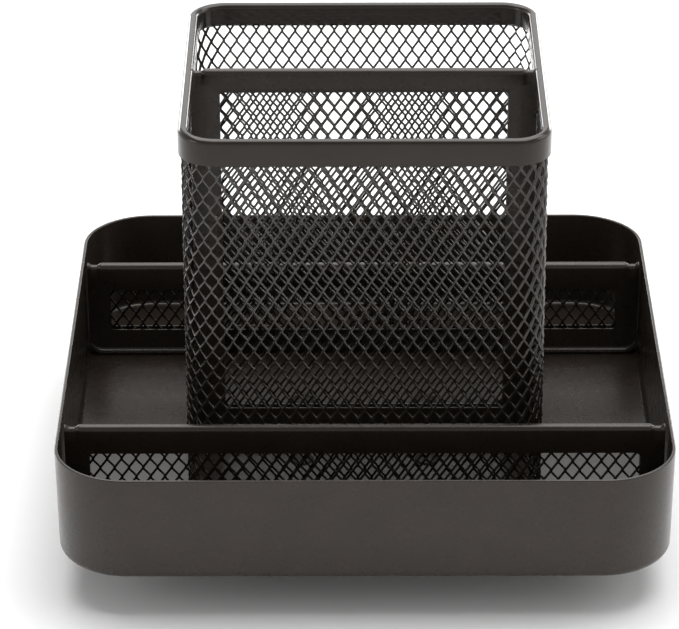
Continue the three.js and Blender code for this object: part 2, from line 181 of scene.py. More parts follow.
# Stage and camera. The camera's angles are in degrees and its lens and sensor in millimetres.
FLOOR_HALF = 3
CAMERA_PLACE = (-0.00411, -0.90771, 0.49954)
CAMERA_PITCH = 26.484
CAMERA_YAW = -0.158
CAMERA_ROLL = -0.177
CAMERA_LENS = 198.2
CAMERA_SENSOR = 36

# ----------------------------------------------------------------------------------------------
# Materials
# ----------------------------------------------------------------------------------------------


def new_material(name):
    """A material with an empty node tree but for its output and principled shader."""
    material = bpy.data.materials.new(name)
    material.use_nodes = True
    nodes = material.node_tree.nodes
    shader = nodes["Principled BSDF"]
    return material, nodes, material.node_tree.links, shader


def noise_node(nodes, links, scale, detail, roughness):
    """Noise in the object's own coordinates. The scale is in cycles per metre."""
    place = nodes.new("ShaderNodeTexCoord")
    texture = nodes.new("ShaderNodeTexNoise")
    texture.inputs["Scale"].default_value = scale
    texture.inputs["Detail"].default_value = detail
    texture.inputs["Roughness"].default_value = roughness
    links.new(place.outputs["Object"], texture.inputs["Vector"])
    return texture


def ramp_node(nodes, links, source, stops):
    """A colour ramp from one number. Each stop is (position, (red, green, blue))."""
    ramp = nodes.new("ShaderNodeValToRGB")
    elements = ramp.color_ramp.elements
    while len(elements) < len(stops):
        elements.new(0.5)
    for element, (position, colour) in zip(elements, stops):
        element.position = position
        element.color = (*colour, 1)
    links.new(source, ramp.inputs["Fac"])
    return ramp


def range_node(nodes, links, source, low, high):
    """A number from 0 to 1 spread between two values."""
    spread = nodes.new("ShaderNodeMapRange")
    spread.inputs["To Min"].default_value = low
    spread.inputs["To Max"].default_value = high
    links.new(source, spread.inputs["Value"])
    return spread


def bump_node(nodes, links, source, distance, strength, under=None):
    """A bump of the given height in metres, on top of another bump if one is given."""
    bump = nodes.new("ShaderNodeBump")
    bump.inputs["Distance"].default_value = distance
    bump.inputs["Strength"].default_value = strength
    links.new(source, bump.inputs["Height"])
    if under is not None:
        links.new(under.outputs["Normal"], bump.inputs["Normal"])
    return bump


def powder_coat(name, painted_shade_tone, roughness, ior, gloss, gloss_roughness, peel_strength):
    """Semi-gloss black powder coat: warm black, an orange-peel surface and a fine grain.

    The gloss is the weight of the smooth top layer over the rough one. The tone argument scales both
    blacks; below 1 it darkens them as painted shade, making a darker copy of the same coat rather than
    a different finish.
    """
    material, nodes, links, shader = new_material(name)
    blotches = noise_node(nodes, links, scale=90, detail=3, roughness=0.6)
    # Both blacks are scaled by the tone: below 1 this is painted shade
    warm = [channel * painted_shade_tone for channel in WARM_BLACK]
    cool = [channel * painted_shade_tone for channel in COOL_BLACK]
    colour = ramp_node(nodes, links, blotches.outputs["Fac"], [(0.35, cool), (0.65, warm)])
    links.new(colour.outputs["Color"], shader.inputs["Base Color"])
    smears = noise_node(nodes, links, scale=240, detail=4, roughness=0.65)
    smooth, rough = roughness - SMEAR_SMOOTHER, roughness + SMEAR_ROUGHER
    sheen = range_node(nodes, links, smears.outputs["Fac"], low=smooth, high=rough)
    links.new(sheen.outputs["Result"], shader.inputs["Roughness"])
    shader.inputs["IOR"].default_value = ior
    shader.inputs["Specular Tint"].default_value = (*WARM_TINT, 1)
    shader.inputs["Coat Weight"].default_value = gloss
    shader.inputs["Coat Roughness"].default_value = gloss_roughness
    shader.inputs["Coat IOR"].default_value = GLOSS_IOR
    peel = noise_node(nodes, links, scale=900, detail=2, roughness=0.5)
    grain = noise_node(nodes, links, scale=3800, detail=2, roughness=0.6)
    waves = bump_node(nodes, links, peel.outputs["Fac"], PEEL_HEIGHT, peel_strength)
    fine = bump_node(nodes, links, grain.outputs["Fac"], GRAIN_HEIGHT, peel_strength, waves)
    links.new(fine.outputs["Normal"], shader.inputs["Normal"])
    return material


def zinc(name):
    """Dull zinc plate: bluish grey with cloudy crystal patches and faint rolling scratches."""
    material, nodes, links, shader = new_material(name)
    clouds = noise_node(nodes, links, scale=260, detail=5, roughness=0.7)
    stops = [(0.3, (0.42, 0.43, 0.45)), (0.55, (0.60, 0.61, 0.62)), (0.75, (0.70, 0.70, 0.69))]
    colour = ramp_node(nodes, links, clouds.outputs["Fac"], stops)
    links.new(colour.outputs["Color"], shader.inputs["Base Color"])
    shader.inputs["Metallic"].default_value = 1
    dullness = range_node(nodes, links, clouds.outputs["Fac"], low=0.28, high=0.5)
    links.new(dullness.outputs["Result"], shader.inputs["Roughness"])
    scratches = noise_node(nodes, links, scale=2600, detail=3, roughness=0.7)
    bump = bump_node(nodes, links, scratches.outputs["Fac"], distance=0.00002, strength=0.4)
    links.new(bump.outputs["Normal"], shader.inputs["Normal"])
    return material


def polished_steel(name):
    """Ground bearing steel with a thin film of grease that dulls it in places."""
    material, nodes, links, shader = new_material(name)
    film = noise_node(nodes, links, scale=700, detail=3, roughness=0.6)
    stops = [(0.35, (0.66, 0.66, 0.67)), (0.65, (0.78, 0.77, 0.75))]
    colour = ramp_node(nodes, links, film.outputs["Fac"], stops)
    links.new(colour.outputs["Color"], shader.inputs["Base Color"])
    shader.inputs["Metallic"].default_value = 1
    dullness = range_node(nodes, links, film.outputs["Fac"], low=0.06, high=0.22)
    links.new(dullness.outputs["Result"], shader.inputs["Roughness"])
    return material


def natural_nylon(name):
    """Moulded nylon in its natural cream, slightly cloudy."""
    material, nodes, links, shader = new_material(name)
    clouds = noise_node(nodes, links, scale=180, detail=4, roughness=0.6)
    stops = [(0.3, (0.70, 0.66, 0.56)), (0.7, (0.80, 0.77, 0.69))]
    colour = ramp_node(nodes, links, clouds.outputs["Fac"], stops)
    links.new(colour.outputs["Color"], shader.inputs["Base Color"])
    haze = range_node(nodes, links, clouds.outputs["Fac"], low=0.42, high=0.6)
    links.new(haze.outputs["Result"], shader.inputs["Roughness"])
    shader.inputs["Subsurface Weight"].default_value = 0.15
    shader.inputs["Subsurface Radius"].default_value = (0.002, 0.0018, 0.0014)
    grain = noise_node(nodes, links, scale=1500, detail=3, roughness=0.6)
    bump = bump_node(nodes, links, grain.outputs["Fac"], distance=0.00003, strength=0.3)
    links.new(bump.outputs["Normal"], shader.inputs["Normal"])
    return material


def black_rubber(name):
    """Matt moulded rubber with a fine pebbled skin and a little dust."""
    material, nodes, links, shader = new_material(name)
    dust = noise_node(nodes, links, scale=420, detail=5, roughness=0.7)
    stops = [(0.4, (0.016, 0.016, 0.017)), (0.75, (0.045, 0.044, 0.042))]
    colour = ramp_node(nodes, links, dust.outputs["Fac"], stops)
    links.new(colour.outputs["Color"], shader.inputs["Base Color"])
    matt = range_node(nodes, links, dust.outputs["Fac"], low=0.7, high=0.9)
    links.new(matt.outputs["Result"], shader.inputs["Roughness"])
    pebble = noise_node(nodes, links, scale=1900, detail=2, roughness=0.5)
    bump = bump_node(nodes, links, pebble.outputs["Fac"], distance=0.00006, strength=0.5)
    links.new(bump.outputs["Normal"], shader.inputs["Normal"])
    return material


COAT = powder_coat(
    "black_powder_coat",
    painted_shade_tone=1.0, roughness=0.27, ior=1.44, gloss=0.25, gloss_roughness=0.24, peel_strength=0.15,
)
# The rim, mesh and rivet coats are the tray's own coat with its blacks darkened by a tone below 1. This
# is painted shade standing in for their dimmer reflections, and on the rivets it also sinks them into
# the shade under the cup.
RIM_COAT = powder_coat(
    "black_powder_coat_rim",
    painted_shade_tone=0.9, roughness=0.20, ior=1.34, gloss=0.6, gloss_roughness=0.07, peel_strength=0.25,
)
MESH_COAT = powder_coat(
    "black_powder_coat_mesh",
    painted_shade_tone=0.7, roughness=0.2, ior=1.5, gloss=0.6, gloss_roughness=0.07, peel_strength=0.35,
)
RIVET_COAT = powder_coat(
    "black_powder_coat_rivet",
    painted_shade_tone=0.6, roughness=0.5, ior=1.3, gloss=0.0, gloss_roughness=0.3, peel_strength=0.35,
)
ZINC = zinc("zinc_plate")
STEEL = polished_steel("bearing_steel")
NYLON = natural_nylon("nylon")
RUBBER = black_rubber("rubber")

# ----------------------------------------------------------------------------------------------
# Mesh helpers
# ----------------------------------------------------------------------------------------------


def arc(centre, radius, start, end, steps):
    """Points on an arc as (across, up) pairs, both ends included. Angles are in degrees."""
    angles = [math.radians(start + (end - start) * step / steps) for step in range(steps + 1)]
    return [(centre[0] + radius * math.cos(a), centre[1] + radius * math.sin(a)) for a in angles]


def rounded_square(half, radius, z):
    """A rounded square at one height, anticlockwise seen from above."""
    reach = half - radius
    corners = [(1, 1), (-1, 1), (-1, -1), (1, -1)]
    return [
        Vector((x, y, z))
        for quarter, (side_x, side_y) in enumerate(corners)
        for x, y in arc((side_x * reach, side_y * reach), radius,
                        quarter * 90, quarter * 90 + 90, CORNER_STEPS)
    ]


def loft(loops, joins_ends):
    """A bmesh skin through loops of equal length, a ring if its ends join, or else capped."""
    bm = bmesh.new()
    rings = [[bm.verts.new(point) for point in loop] for loop in loops]
    pairs = list(zip(rings, rings[1:]))
    if joins_ends:
        pairs.append((rings[-1], rings[0]))
    size = len(rings[0])
    for low, high in pairs:
        for place in range(size):
            after = (place + 1) % size
            bm.faces.new((low[place], low[after], high[after], high[place]))
    if not joins_ends:
        bm.faces.new(rings[0])
        bm.faces.new(rings[-1])
    bmesh.ops.recalc_face_normals(bm, faces=bm.faces)
    return bm


def carried_round(profile, half, radius, joins_ends):
    """A profile of (inset, height) pairs carried round a rounded square."""
    loops = [rounded_square(half - inset, radius - inset, z) for inset, z in profile]
    return loft(loops, joins_ends)


def turned(profile):
    """A ring turned about the Z axis. The profile of (radius, height) pairs closes on itself."""
    angles = [math.tau * step / ROUND_STEPS for step in range(ROUND_STEPS)]
    loops = [
        [Vector((r * math.cos(a), r * math.sin(a), z)) for r, z in profile] for a in angles
    ]
    return loft(loops, True)


def turned_solid(profile, centre):
    """A solid turned about an upright axis, closed by flat ends at its first and last points."""
    angles = [math.tau * step / HOLE_STEPS for step in range(HOLE_STEPS)]
    loops = [
        [Vector((centre[0] + r * math.cos(a), centre[1] + r * math.sin(a), z)) for a in angles]
        for r, z in profile
    ]
    return loft(loops, False)


def mesh_object(name, bm):
    """A bmesh as a linked object."""
    mesh = bpy.data.meshes.new(name)
    bm.to_mesh(mesh)
    bm.free()
    made = bpy.data.objects.new(name, mesh)
    bpy.context.scene.collection.objects.link(made)
    return made


def apply_modifiers(target):
    """Bakes the target's modifiers into its mesh."""
    graph = bpy.context.evaluated_depsgraph_get()
    target.data = bpy.data.meshes.new_from_object(target.evaluated_get(graph))
    target.modifiers.clear()


def posts(places, radius, bottom, top):
    """Upright round posts in one bmesh, to cut holes with."""
    bm = bmesh.new()
    for x, y in places:
        where = Matrix.Translation((x, y, (bottom + top) / 2))
        bmesh.ops.create_cone(
            bm, cap_ends=True, segments=HOLE_STEPS, radius1=radius, radius2=radius,
            depth=top - bottom, matrix=where,
        )
    return bm


def cut(target, cutter_bm):
    """Takes a solid out of the target."""
    cutter = mesh_object("cutter", cutter_bm)
    boolean = target.modifiers.new("cut", "BOOLEAN")
    boolean.operation = "DIFFERENCE"
    boolean.solver = "EXACT"
    boolean.object = cutter
    apply_modifiers(target)
    bpy.data.objects.remove(cutter)


def soften(target, width):
    """Rounds the target's sharp edges by a small width."""
    bevel = target.modifiers.new("soften", "BEVEL")
    bevel.width = width
    bevel.segments = BEVEL_STEPS
    bevel.limit_method = "ANGLE"
    bevel.angle_limit = math.radians(ROUNDED_ANGLE)
    bevel.use_clamp_overlap = True
    apply_modifiers(target)


def finish(target, material, body, node, sharp=SHARP_ANGLE):
    """Shades a piece, gives it its material and body, and lets it stand for its CAD node."""
    target.data.shade_smooth()
    target.data.set_sharp_from_angle(angle=math.radians(sharp))
    target.data.materials.clear()
    target.data.materials.append(material)
    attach(target, body)
    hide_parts(node)


# ----------------------------------------------------------------------------------------------
# Tray
# ----------------------------------------------------------------------------------------------


def floor_edge(radius, bottom):
    """The pan's quarter-round floor edge as (inset, height) pairs, from the floor to the wall."""
    centre = (TRAY_DRAFT + TRAY_FLOOR_RADIUS, bottom + TRAY_FLOOR_RADIUS)
    return [
        (2 * centre[0] - inset, z) for inset, z in arc(centre, radius, -90, 0, FILLET_STEPS)
    ]


def tray_pan():
    """The pressed pan: rounded corners, a slight draft and a raw top edge with its burr rolled."""
    low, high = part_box("tray_pan")
    lip = TRAY_EDGE_ROUND
    profile = [
        *floor_edge(TRAY_FLOOR_RADIUS, low.z),
        *arc((lip, high.z - lip), lip, 180, 90, TRAY_EDGE_STEPS),
        *arc((TRAY_SHEET - lip, high.z - lip), lip, 90, 0, TRAY_EDGE_STEPS),
        *reversed(floor_edge(TRAY_FLOOR_RADIUS - TRAY_SHEET, low.z)),
    ]
    made = mesh_object("tray_pan_shell", carried_round(profile, high.x, TRAY_CORNER, False))
    floor = low.z + TRAY_SHEET
    cut(made, posts(tray_rivet_places(), TRAY_RIVET_HOLE, low.z - HOLE_MARGIN, floor + HOLE_MARGIN))
    return made


# ----------------------------------------------------------------------------------------------
# Dividers
# ----------------------------------------------------------------------------------------------


def bump_curve(share):
    """A smooth hump over 0 to 1 that is flat at both ends and in the middle."""
    rise = min(1, 3 * min(share, 1 - share))
    return rise * rise * (3 - 2 * rise)


def flange(y, side, bottom):
    """A skin's foot, turned out on the tray's floor: its raw edge and the bend up to the skin."""
    bend = FLANGE_BEND
    centre = (y + side * bend, bottom + FLANGE_SHEET + bend)
    curve = arc(centre, bend, 270, 270 - side * 90, FILLET_STEPS)
    tip = y + side * FLANGE_RUN
    return [(tip, bottom), (tip, bottom + FLANGE_SHEET), *curve]


def fold_section(x, y, bottom, shoulder, top, half, pinched):
    """An upside-down U across the strip at one place along it: two skins and a half-round fold.

    The skins stand apart up to the shoulder and close in to the pinched fold above it. Each is
    turned out along its foot.
    """
    outer = arc((y, top - pinched), pinched, 0, 180, FOLD_STEPS)
    inner = arc((y, top - pinched), pinched - SKIN, 180, 0, FOLD_STEPS)
    flat_top = shoulder - SHOULDER_EDGE
    section = [
        *flange(y + half, 1, bottom), (y + half, flat_top), (y + half, shoulder),
        *outer,
        (y - half, shoulder), (y - half, flat_top), *reversed(flange(y - half, -1, bottom)),
        (y - half + SKIN, bottom), (y - half + SKIN, shoulder),
        *inner,
        (y + half - SKIN, shoulder), (y + half - SKIN, bottom),
    ]
    return [Vector((x, across, up)) for across, up in section]


def folded_strip(name, half_length, low, high, corner):
    """A folded strip along X. Its fold dips and thins before each end, where it was pinched to weld."""
    middle = (low.y + high.y) / 2
    half = (high.y - low.y) / 2
    fine = [PINCH_LENGTH * step / PINCH_STEPS for step in range(PINCH_STEPS + 1)]
    shoulder = high.z - half - PINCH_DROP
    sections = []
    for offset in fine + [half_length / 2, half_length]:
        dip = bump_curve(min(1, offset / PINCH_LENGTH))
        lift = corner - math.sqrt(max(0, corner ** 2 - max(0, corner - offset) ** 2))
        top = high.z - PINCH_DIP * dip
        pinched = half * (1 - PINCH_THINNING * dip)
        sections.append((half_length - offset, low.z + lift, top, pinched))

    def section(x, bottom, top, pinched):
        return fold_section(x, middle, bottom, shoulder, top, half, pinched)

    right = [section(x, *rest) for x, *rest in sections]
    left = [section(-x, *rest) for x, *rest in reversed(sections[:-1])]
    return mesh_object(name, loft(right + left, False))


def rounded_window(window, y, depth):
    """The solid that cuts a window with rounded corners through a frame."""
    radius = WINDOW_CORNER
    half, bottom, top = window["half_width"], window["bottom"], window["top"]
    right, left = half - radius, radius - half
    steps = WINDOW_CORNER_STEPS
    outline = [
        *arc((right, top - radius), radius, 0, 90, steps),
        *arc((left, top - radius), radius, 90, 180, steps),
        *arc((left, bottom + radius), radius, 180, 270, steps),
        *arc((right, bottom + radius), radius, 270, 360, steps),
    ]
    ends = [[Vector((x, y + side * depth, z)) for x, z in outline] for side in (-1, 1)]
    return loft(ends, False)


def block(low, high):
    """An upright box between two opposite corners."""
    bm = bmesh.new()
    bmesh.ops.create_cube(bm, size=1)
    for vertex in bm.verts:
        vertex.co = [(a + b) / 2 + c * (b - a) for a, b, c in zip(low, high, vertex.co)]
    return bm


def divider_frame(node, window, corner):
    """A folded divider with its window cut and its raw edges softened."""
    low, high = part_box(node)
    made = folded_strip(node + "_fold", high.x, low, high, corner)
    cut(made, rounded_window(window, (low.y + high.y) / 2, high.y - low.y))
    soften(made, DIVIDER_EDGE)
    return made


def tray_divider_frame(node):
    """A divider of the tray. Its foot on the cup's side stops short of the cup."""
    made = divider_frame(node, DIVIDER_WINDOW, DIVIDER_CORNER)
    low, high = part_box(node)
    side = 1 if low.y > 0 else -1
    face = min(abs(low.y), abs(high.y))
    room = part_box("cup_mesh")[1].x + CUP_CLEARANCE
    reach = 2 * FLANGE_RUN
    near, far = sorted((side * (face - SKIN_MARGIN), side * (face - reach)))
    cut(made, block((-room, near, low.z - HOLE_MARGIN), (room, far, low.z + reach)))
    return made


# ----------------------------------------------------------------------------------------------
# Expanded mesh
# ----------------------------------------------------------------------------------------------


def diamond_sheet(columns, rows, pitch, row):
    """Expanded metal as a bmesh.

    Bonds stand in rows half a diamond apart, each row shifted by half a pitch from the last. An
    opening lies between two neighbouring bonds of a row and the bonds straight above and below it.
    Its six-sided edge stands off from the line through the bonds' centres by half a strand, and the
    strands lean because the left side of each opening is pushed out and the right side in. X runs
    along the sheet, Y out of it and Z up it.
    """
    bm = bmesh.new()
    half_row = row / 2
    lean = math.atan2(pitch / 2, half_row - BOND_LENGTH)
    half_bond = STRAND_WIDTH / 2 / math.cos(lean)
    tip = STRAND_WIDTH / 2 / math.sin(lean)
    push = STRAND_TILT * half_bond
    shear = STRAND_THICKNESS / 2 * math.sin(math.atan(STRAND_TILT)) / 2
    faces_of = (1, -1)

    def vertices(along, out, up, crown=0):
        """The front and back vertices of one point of the sheet."""
        return [
            bm.verts.new((along - side * shear, out + side * (STRAND_THICKNESS / 2 + crown), up))
            for side in faces_of
        ]

    bonds = {}
    bond_columns = columns + 2
    for level in range(rows + 1):
        for column in range(bond_columns):
            along = (column + level % 2 / 2) * pitch
            up = level * half_row
            bonds[level, column] = [
                vertices(along, 0, up + end * BOND_LENGTH / 2, STRAND_CROWN) for end in (1, -1)
            ]

    for level in range(1, rows):
        for column in range(columns):
            after = column + 1
            middle_column = column + level % 2
            along = (column + 0.5 + level % 2 / 2) * pitch
            up = level * half_row
            side = pitch / 2 - half_bond
            corner = BOND_LENGTH / 2
            top = half_row - corner - tip
            rim = [
                vertices(along + side, -push, up + corner),
                vertices(along, 0, up + top),
                vertices(along - side, push, up + corner),
                vertices(along - side, push, up - corner),
                vertices(along, 0, up - top),
                vertices(along + side, -push, up - corner),
            ]
            centres = [
                bonds[level, after][0],
                bonds[level + 1, middle_column][1],
                bonds[level, column][0],
                bonds[level, column][1],
                bonds[level - 1, middle_column][0],
                bonds[level, after][1],
            ]
            for here in range(6):
                then = (here + 1) % 6
                (front, back), (next_front, next_back) = rim[here], rim[then]
                (far, far_back), (next_far, next_far_back) = centres[here], centres[then]
                bm.faces.new((far, next_far, next_front, front))
                bm.faces.new((front, next_front, next_back, back))
                bm.faces.new((back, next_back, next_far_back, far_back))
    loose = [vertex for vertex in bm.verts if not vertex.link_faces]
    bmesh.ops.delete(bm, geom=loose, context="VERTS")
    return bm


def trim(bm, point, outward):
    """Cuts off what lies past a plane and closes the cut strands with flat ends."""
    everything = bm.verts[:] + bm.edges[:] + bm.faces[:]
    made = bmesh.ops.bisect_plane(
        bm, geom=everything, dist=TRIM_TOLERANCE, plane_co=point, plane_no=outward, clear_outer=True
    )
    edges = [item for item in made["geom_cut"] if isinstance(item, bmesh.types.BMEdge)]
    bmesh.ops.holes_fill(bm, edges=edges, sides=0)


def below(value, least, step):
    """The last value at whole steps under the first one that lies more than a step below least."""
    return value - (math.ceil((value - least) / step) + 1) * step


def cut_sheet(low, high, bond, pitch, row):
    """A flat rectangle of expanded metal between two (along, up) corners, trimmed on all sides.

    It is laid so that one of its bonds lies at the given place.
    """
    start = Vector((below(bond[0], low[0], pitch), 0, below(bond[1], low[1], row)))
    columns = math.ceil((high[0] - start.x) / pitch) + 2
    rows = math.ceil(2 * (high[1] - start.z) / row) + 2
    bm = diamond_sheet(columns, rows, pitch, row)
    bmesh.ops.translate(bm, verts=bm.verts, vec=start)
    for corner, side in ((low, -1), (high, 1)):
        point = (corner[0], 0, corner[1])
        trim(bm, point, (side, 0, 0))
        trim(bm, point, (0, 0, side))
    return bm


def mesh_panel(node, name):
    """The flat mesh panel that a divider holds between its skins."""
    low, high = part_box(node)
    middle = (low.y + high.y) / 2
    bond, slope = PANEL_BONDS[node], PANEL_SLOPES[node]
    slack = abs(slope) * high.x
    bm = cut_sheet((low.x, low.z - slack), (high.x, high.z + slack), bond, PANEL_PITCH, PANEL_ROW)
    for vertex in bm.verts:
        along, out, up = vertex.co
        vertex.co = (along, middle - out, up + slope * (along - bond[0]))
    trim(bm, low, (0, 0, -1))
    trim(bm, high, (0, 0, 1))
    bmesh.ops.recalc_face_normals(bm, faces=bm.faces)
    return mesh_object(name, bm)


def around_square(half, radius):
    """The perimeter of a rounded square, and a function from a length along it to a place on it.

    The length starts at the left end of the front side and runs to the right. The place comes with
    the direction that faces out there.
    """
    reach = half - radius
    straight, bend = 2 * reach, radius * math.pi / 2
    quarter = straight + bend

    def at(length):
        side, along = divmod(length % (4 * quarter), quarter)
        turn = Matrix.Rotation(side * math.pi / 2, 3, "Z")
        if along <= straight:
            point, out = Vector((along - reach, -half, 0)), Vector((0, -1, 0))
        else:
            angle = (along - straight) / radius
            out = Vector((math.sin(angle), -math.cos(angle), 0))
            point = Vector((reach, -reach, 0)) + out * radius
        return turn @ point, turn @ out

    return 4 * quarter, at


def cup_mesh():
    """The cup's wall: one strip of expanded mesh bent round, with its ends meeting on the left side."""
    low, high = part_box("cup_mesh")
    half_sheet = MESH_THICKNESS / 2
    half, radius = high.x - half_sheet, RIM_CORNER - MESH_INSET - half_sheet
    perimeter, at = around_square(half, radius)
    seam = perimeter * 3 / 4 + half - radius
    bond = ((CUP_BOND[0] - seam) % perimeter, CUP_BOND[1])
    end_gap = SEAM_GAP / 2
    bm = cut_sheet((end_gap, low.z), (perimeter - end_gap, high.z), bond, CUP_PITCH, CUP_ROW)
    for vertex in bm.verts:
        along, out, up = vertex.co
        point, outward = at(seam + along)
        vertex.co = point + outward * out + Vector((0, 0, up))
    bmesh.ops.recalc_face_normals(bm, faces=bm.faces)
    return mesh_object("cup_wall_mesh", bm)


# ----------------------------------------------------------------------------------------------
# Cup rim
# ----------------------------------------------------------------------------------------------


def cup_rim():
    """The band folded over the mesh: a half-round top, flat skins and a slot for the mesh."""
    low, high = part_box("cup_rim")
    slot_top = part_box("cup_mesh")[1].z + RIM_SLOT_ROOM
    half = RIM_THICKNESS / 2
    hem = RIM_HEM
    inner_bottom = low.z + RIM_INNER_RISE
    profile = [
        (hem, low.z),
        (0, low.z + hem),
        *arc((half, high.z - half), half, 180, 0, FOLD_STEPS),
        (RIM_THICKNESS, inner_bottom + hem),
        (RIM_THICKNESS - hem, inner_bottom),
        (RIM_THICKNESS - RIM_SKIN, inner_bottom),
        (RIM_THICKNESS - RIM_SKIN, slot_top),
        (RIM_SKIN, slot_top),
        (RIM_SKIN, low.z),
    ]
    return mesh_object("cup_rim_band", carried_round(profile, high.x, RIM_CORNER, True))


# ----------------------------------------------------------------------------------------------
# Turntable
# ----------------------------------------------------------------------------------------------


def numbered(stem, digits):
    """The frame's nodes of one name with a number after it."""
    return sorted(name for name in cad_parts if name[:-digits] == stem + "_")


def middle_of(node):
    """A node's place seen from above."""
    low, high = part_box(node)
    return (low.x + high.x) / 2, (low.y + high.y) / 2


def tray_rivet_places():
    """Where the rivets go through the tray."""
    return [middle_of(node) for node in numbered("tray_rivet", 1)]


def ball_size(node):
    """A ball's centre and radius."""
    low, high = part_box(node)
    return (low + high) / 2, max(high - low) / 2


def groove(radius, plane, side):
    """A pressed ball groove in a plate, from its inner lip over to its outer lip.

    It lies under the balls for a side of -1 and over them for a side of 1.
    """
    centre, _ = ball_size("bearing_ball_01")
    lip = math.degrees(math.asin(side * (plane - centre.z) / radius))
    return arc((centre.x, centre.z), radius, side * (180 - lip), side * lip, RACE_STEPS)


def base_plate():
    """The lower plate: a hub with the ball groove, a step down to the rim, and a turned-down lip."""
    low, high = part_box("base_plate")
    race = ball_size("bearing_ball_01")[1] + RACE_CLEARANCE
    hub = high.z - PLATE_SHEET
    step = BASE_STEP_RADIUS
    foot_of_step = step + PLATE_STEP_RUN
    profile = [
        (PIVOT_HOLE, hub),
        *groove(race + PLATE_SHEET, hub, -1),
        (step, hub),
        (foot_of_step, BASE_RIM),
        (high.x - PLATE_SHEET, BASE_RIM),
        (high.x - PLATE_SHEET, low.z),
        (high.x, low.z),
        (high.x, BASE_RIM + PLATE_SHEET),
        (foot_of_step, BASE_RIM + PLATE_SHEET),
        (step, high.z),
        *reversed(groove(race, high.z, -1)),
        (PIVOT_HOLE, high.z),
    ]
    made = mesh_object("turntable_base_plate", turned(profile))
    soften(made, BASE_PLATE_EDGE)
    return made


def top_plate():
    """The upper plate: a groove over the balls and a raised seat that is riveted to the tray."""
    low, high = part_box("turntable_top_plate")
    race = ball_size("bearing_ball_01")[1] + RACE_CLEARANCE
    under, over = low.z, low.z + PLATE_SHEET
    seat = high.z - PLATE_SHEET
    seat_in, seat_out = SEAT_INNER_RADIUS, SEAT_OUTER_RADIUS
    run = PLATE_STEP_RUN
    profile = [
        (PIVOT_HOLE, under),
        (seat_in - run, under),
        (seat_in, seat),
        (seat_out, seat),
        (seat_out + run, under),
        *groove(race, under, 1),
        (high.x, under),
        (high.x, over),
        *reversed(groove(race + PLATE_SHEET, over, 1)),
        (seat_out + run, over),
        (seat_out, high.z),
        (seat_in, high.z),
        (seat_in - run, over),
        (PIVOT_HOLE, over),
    ]
    made = mesh_object("turntable_upper_plate", turned(profile))
    places = tray_rivet_places()
    cut(made, posts(places, TRAY_RIVET_HOLE, seat - HOLE_MARGIN, high.z + HOLE_MARGIN))
    soften(made, TOP_PLATE_EDGE)
    return made


def ball_cage():
    """The flat moulded ring with a pocket for each ball."""
    low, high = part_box("ball_cage")
    centre, radius = ball_size("bearing_ball_01")
    inner = 2 * centre.x - high.x
    made = mesh_object("moulded_ball_cage", turned([
        (inner, low.z), (high.x, low.z), (high.x, high.z), (inner, high.z),
    ]))
    places = [middle_of(node) for node in numbered("bearing_ball", 2)]
    pocket = radius + CAGE_POCKET_GAP
    cut(made, posts(places, pocket, low.z - HOLE_MARGIN, high.z + HOLE_MARGIN))
    soften(made, CAGE_EDGE)
    return made


def bearing_ball(node):
    """A ball made from a finely divided cube, so that its faces are even all round."""
    centre, radius = ball_size(node)
    bm = bmesh.new()
    bmesh.ops.create_cube(bm, size=2)
    bmesh.ops.subdivide_edges(bm, edges=bm.edges, cuts=BALL_CUTS, use_grid_fill=True)
    for vertex in bm.verts:
        vertex.co = centre + vertex.co.normalized() * radius
    return mesh_object(node + "_ground", bm)


def rivet(node, shank):
    """A rivet with a tubular clinched head below and a domed head above."""
    low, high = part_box(node)
    head = (high.x - low.x) / 2
    seat = high.z - RIVET_HEAD
    dome = [
        (head * math.cos(a), seat + RIVET_HEAD * math.sin(a))
        for a in (math.radians(DOME_END * step / DOME_STEPS) for step in range(DOME_STEPS + 1))
    ]
    profile = [
        *((shank * across, low.z + RIVET_HEAD * up) for across, up in CLINCH_BY_SHANK),
        *((head * across, low.z + RIVET_HEAD * up) for across, up in CLINCH_BY_HEAD),
        (shank, low.z + RIVET_HEAD),
        (shank, seat),
        *dome,
    ]
    return mesh_object(node + "_headed", turned_solid(profile, middle_of(node)))


def pivot_washer():
    """The washer that keeps the two plates apart."""
    low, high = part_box("pivot_washer")
    made = mesh_object("pivot_washer_ring", turned([
        (PIVOT_HOLE, low.z), (high.x, low.z), (high.x, high.z), (PIVOT_HOLE, high.z),
    ]))
    soften(made, WASHER_EDGE)
    return made


def rubber_foot(node):
    """A glued pad with a rounded lower edge and a ring groove that grips the desk."""
    low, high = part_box(node)
    radius = (high.x - low.x) / 2
    edge = arc((radius - FOOT_EDGE, low.z + FOOT_EDGE), FOOT_EDGE, -90, 0, FILLET_STEPS)
    inner_low, inner_high = FOOT_RING["inner"]
    outer_high, outer_low = FOOT_RING["outer"]
    profile = [
        (radius * inner_low, low.z),
        (radius * inner_high, low.z + FOOT_GROOVE),
        (radius * outer_high, low.z + FOOT_GROOVE),
        (radius * outer_low, low.z),
        *edge,
        (radius, high.z - FOOT_GROOVE),
        (radius - FOOT_GROOVE, high.z),
    ]
    return mesh_object(node + "_pad", turned_solid(profile, middle_of(node)))


# ----------------------------------------------------------------------------------------------
# Assembly
# ----------------------------------------------------------------------------------------------


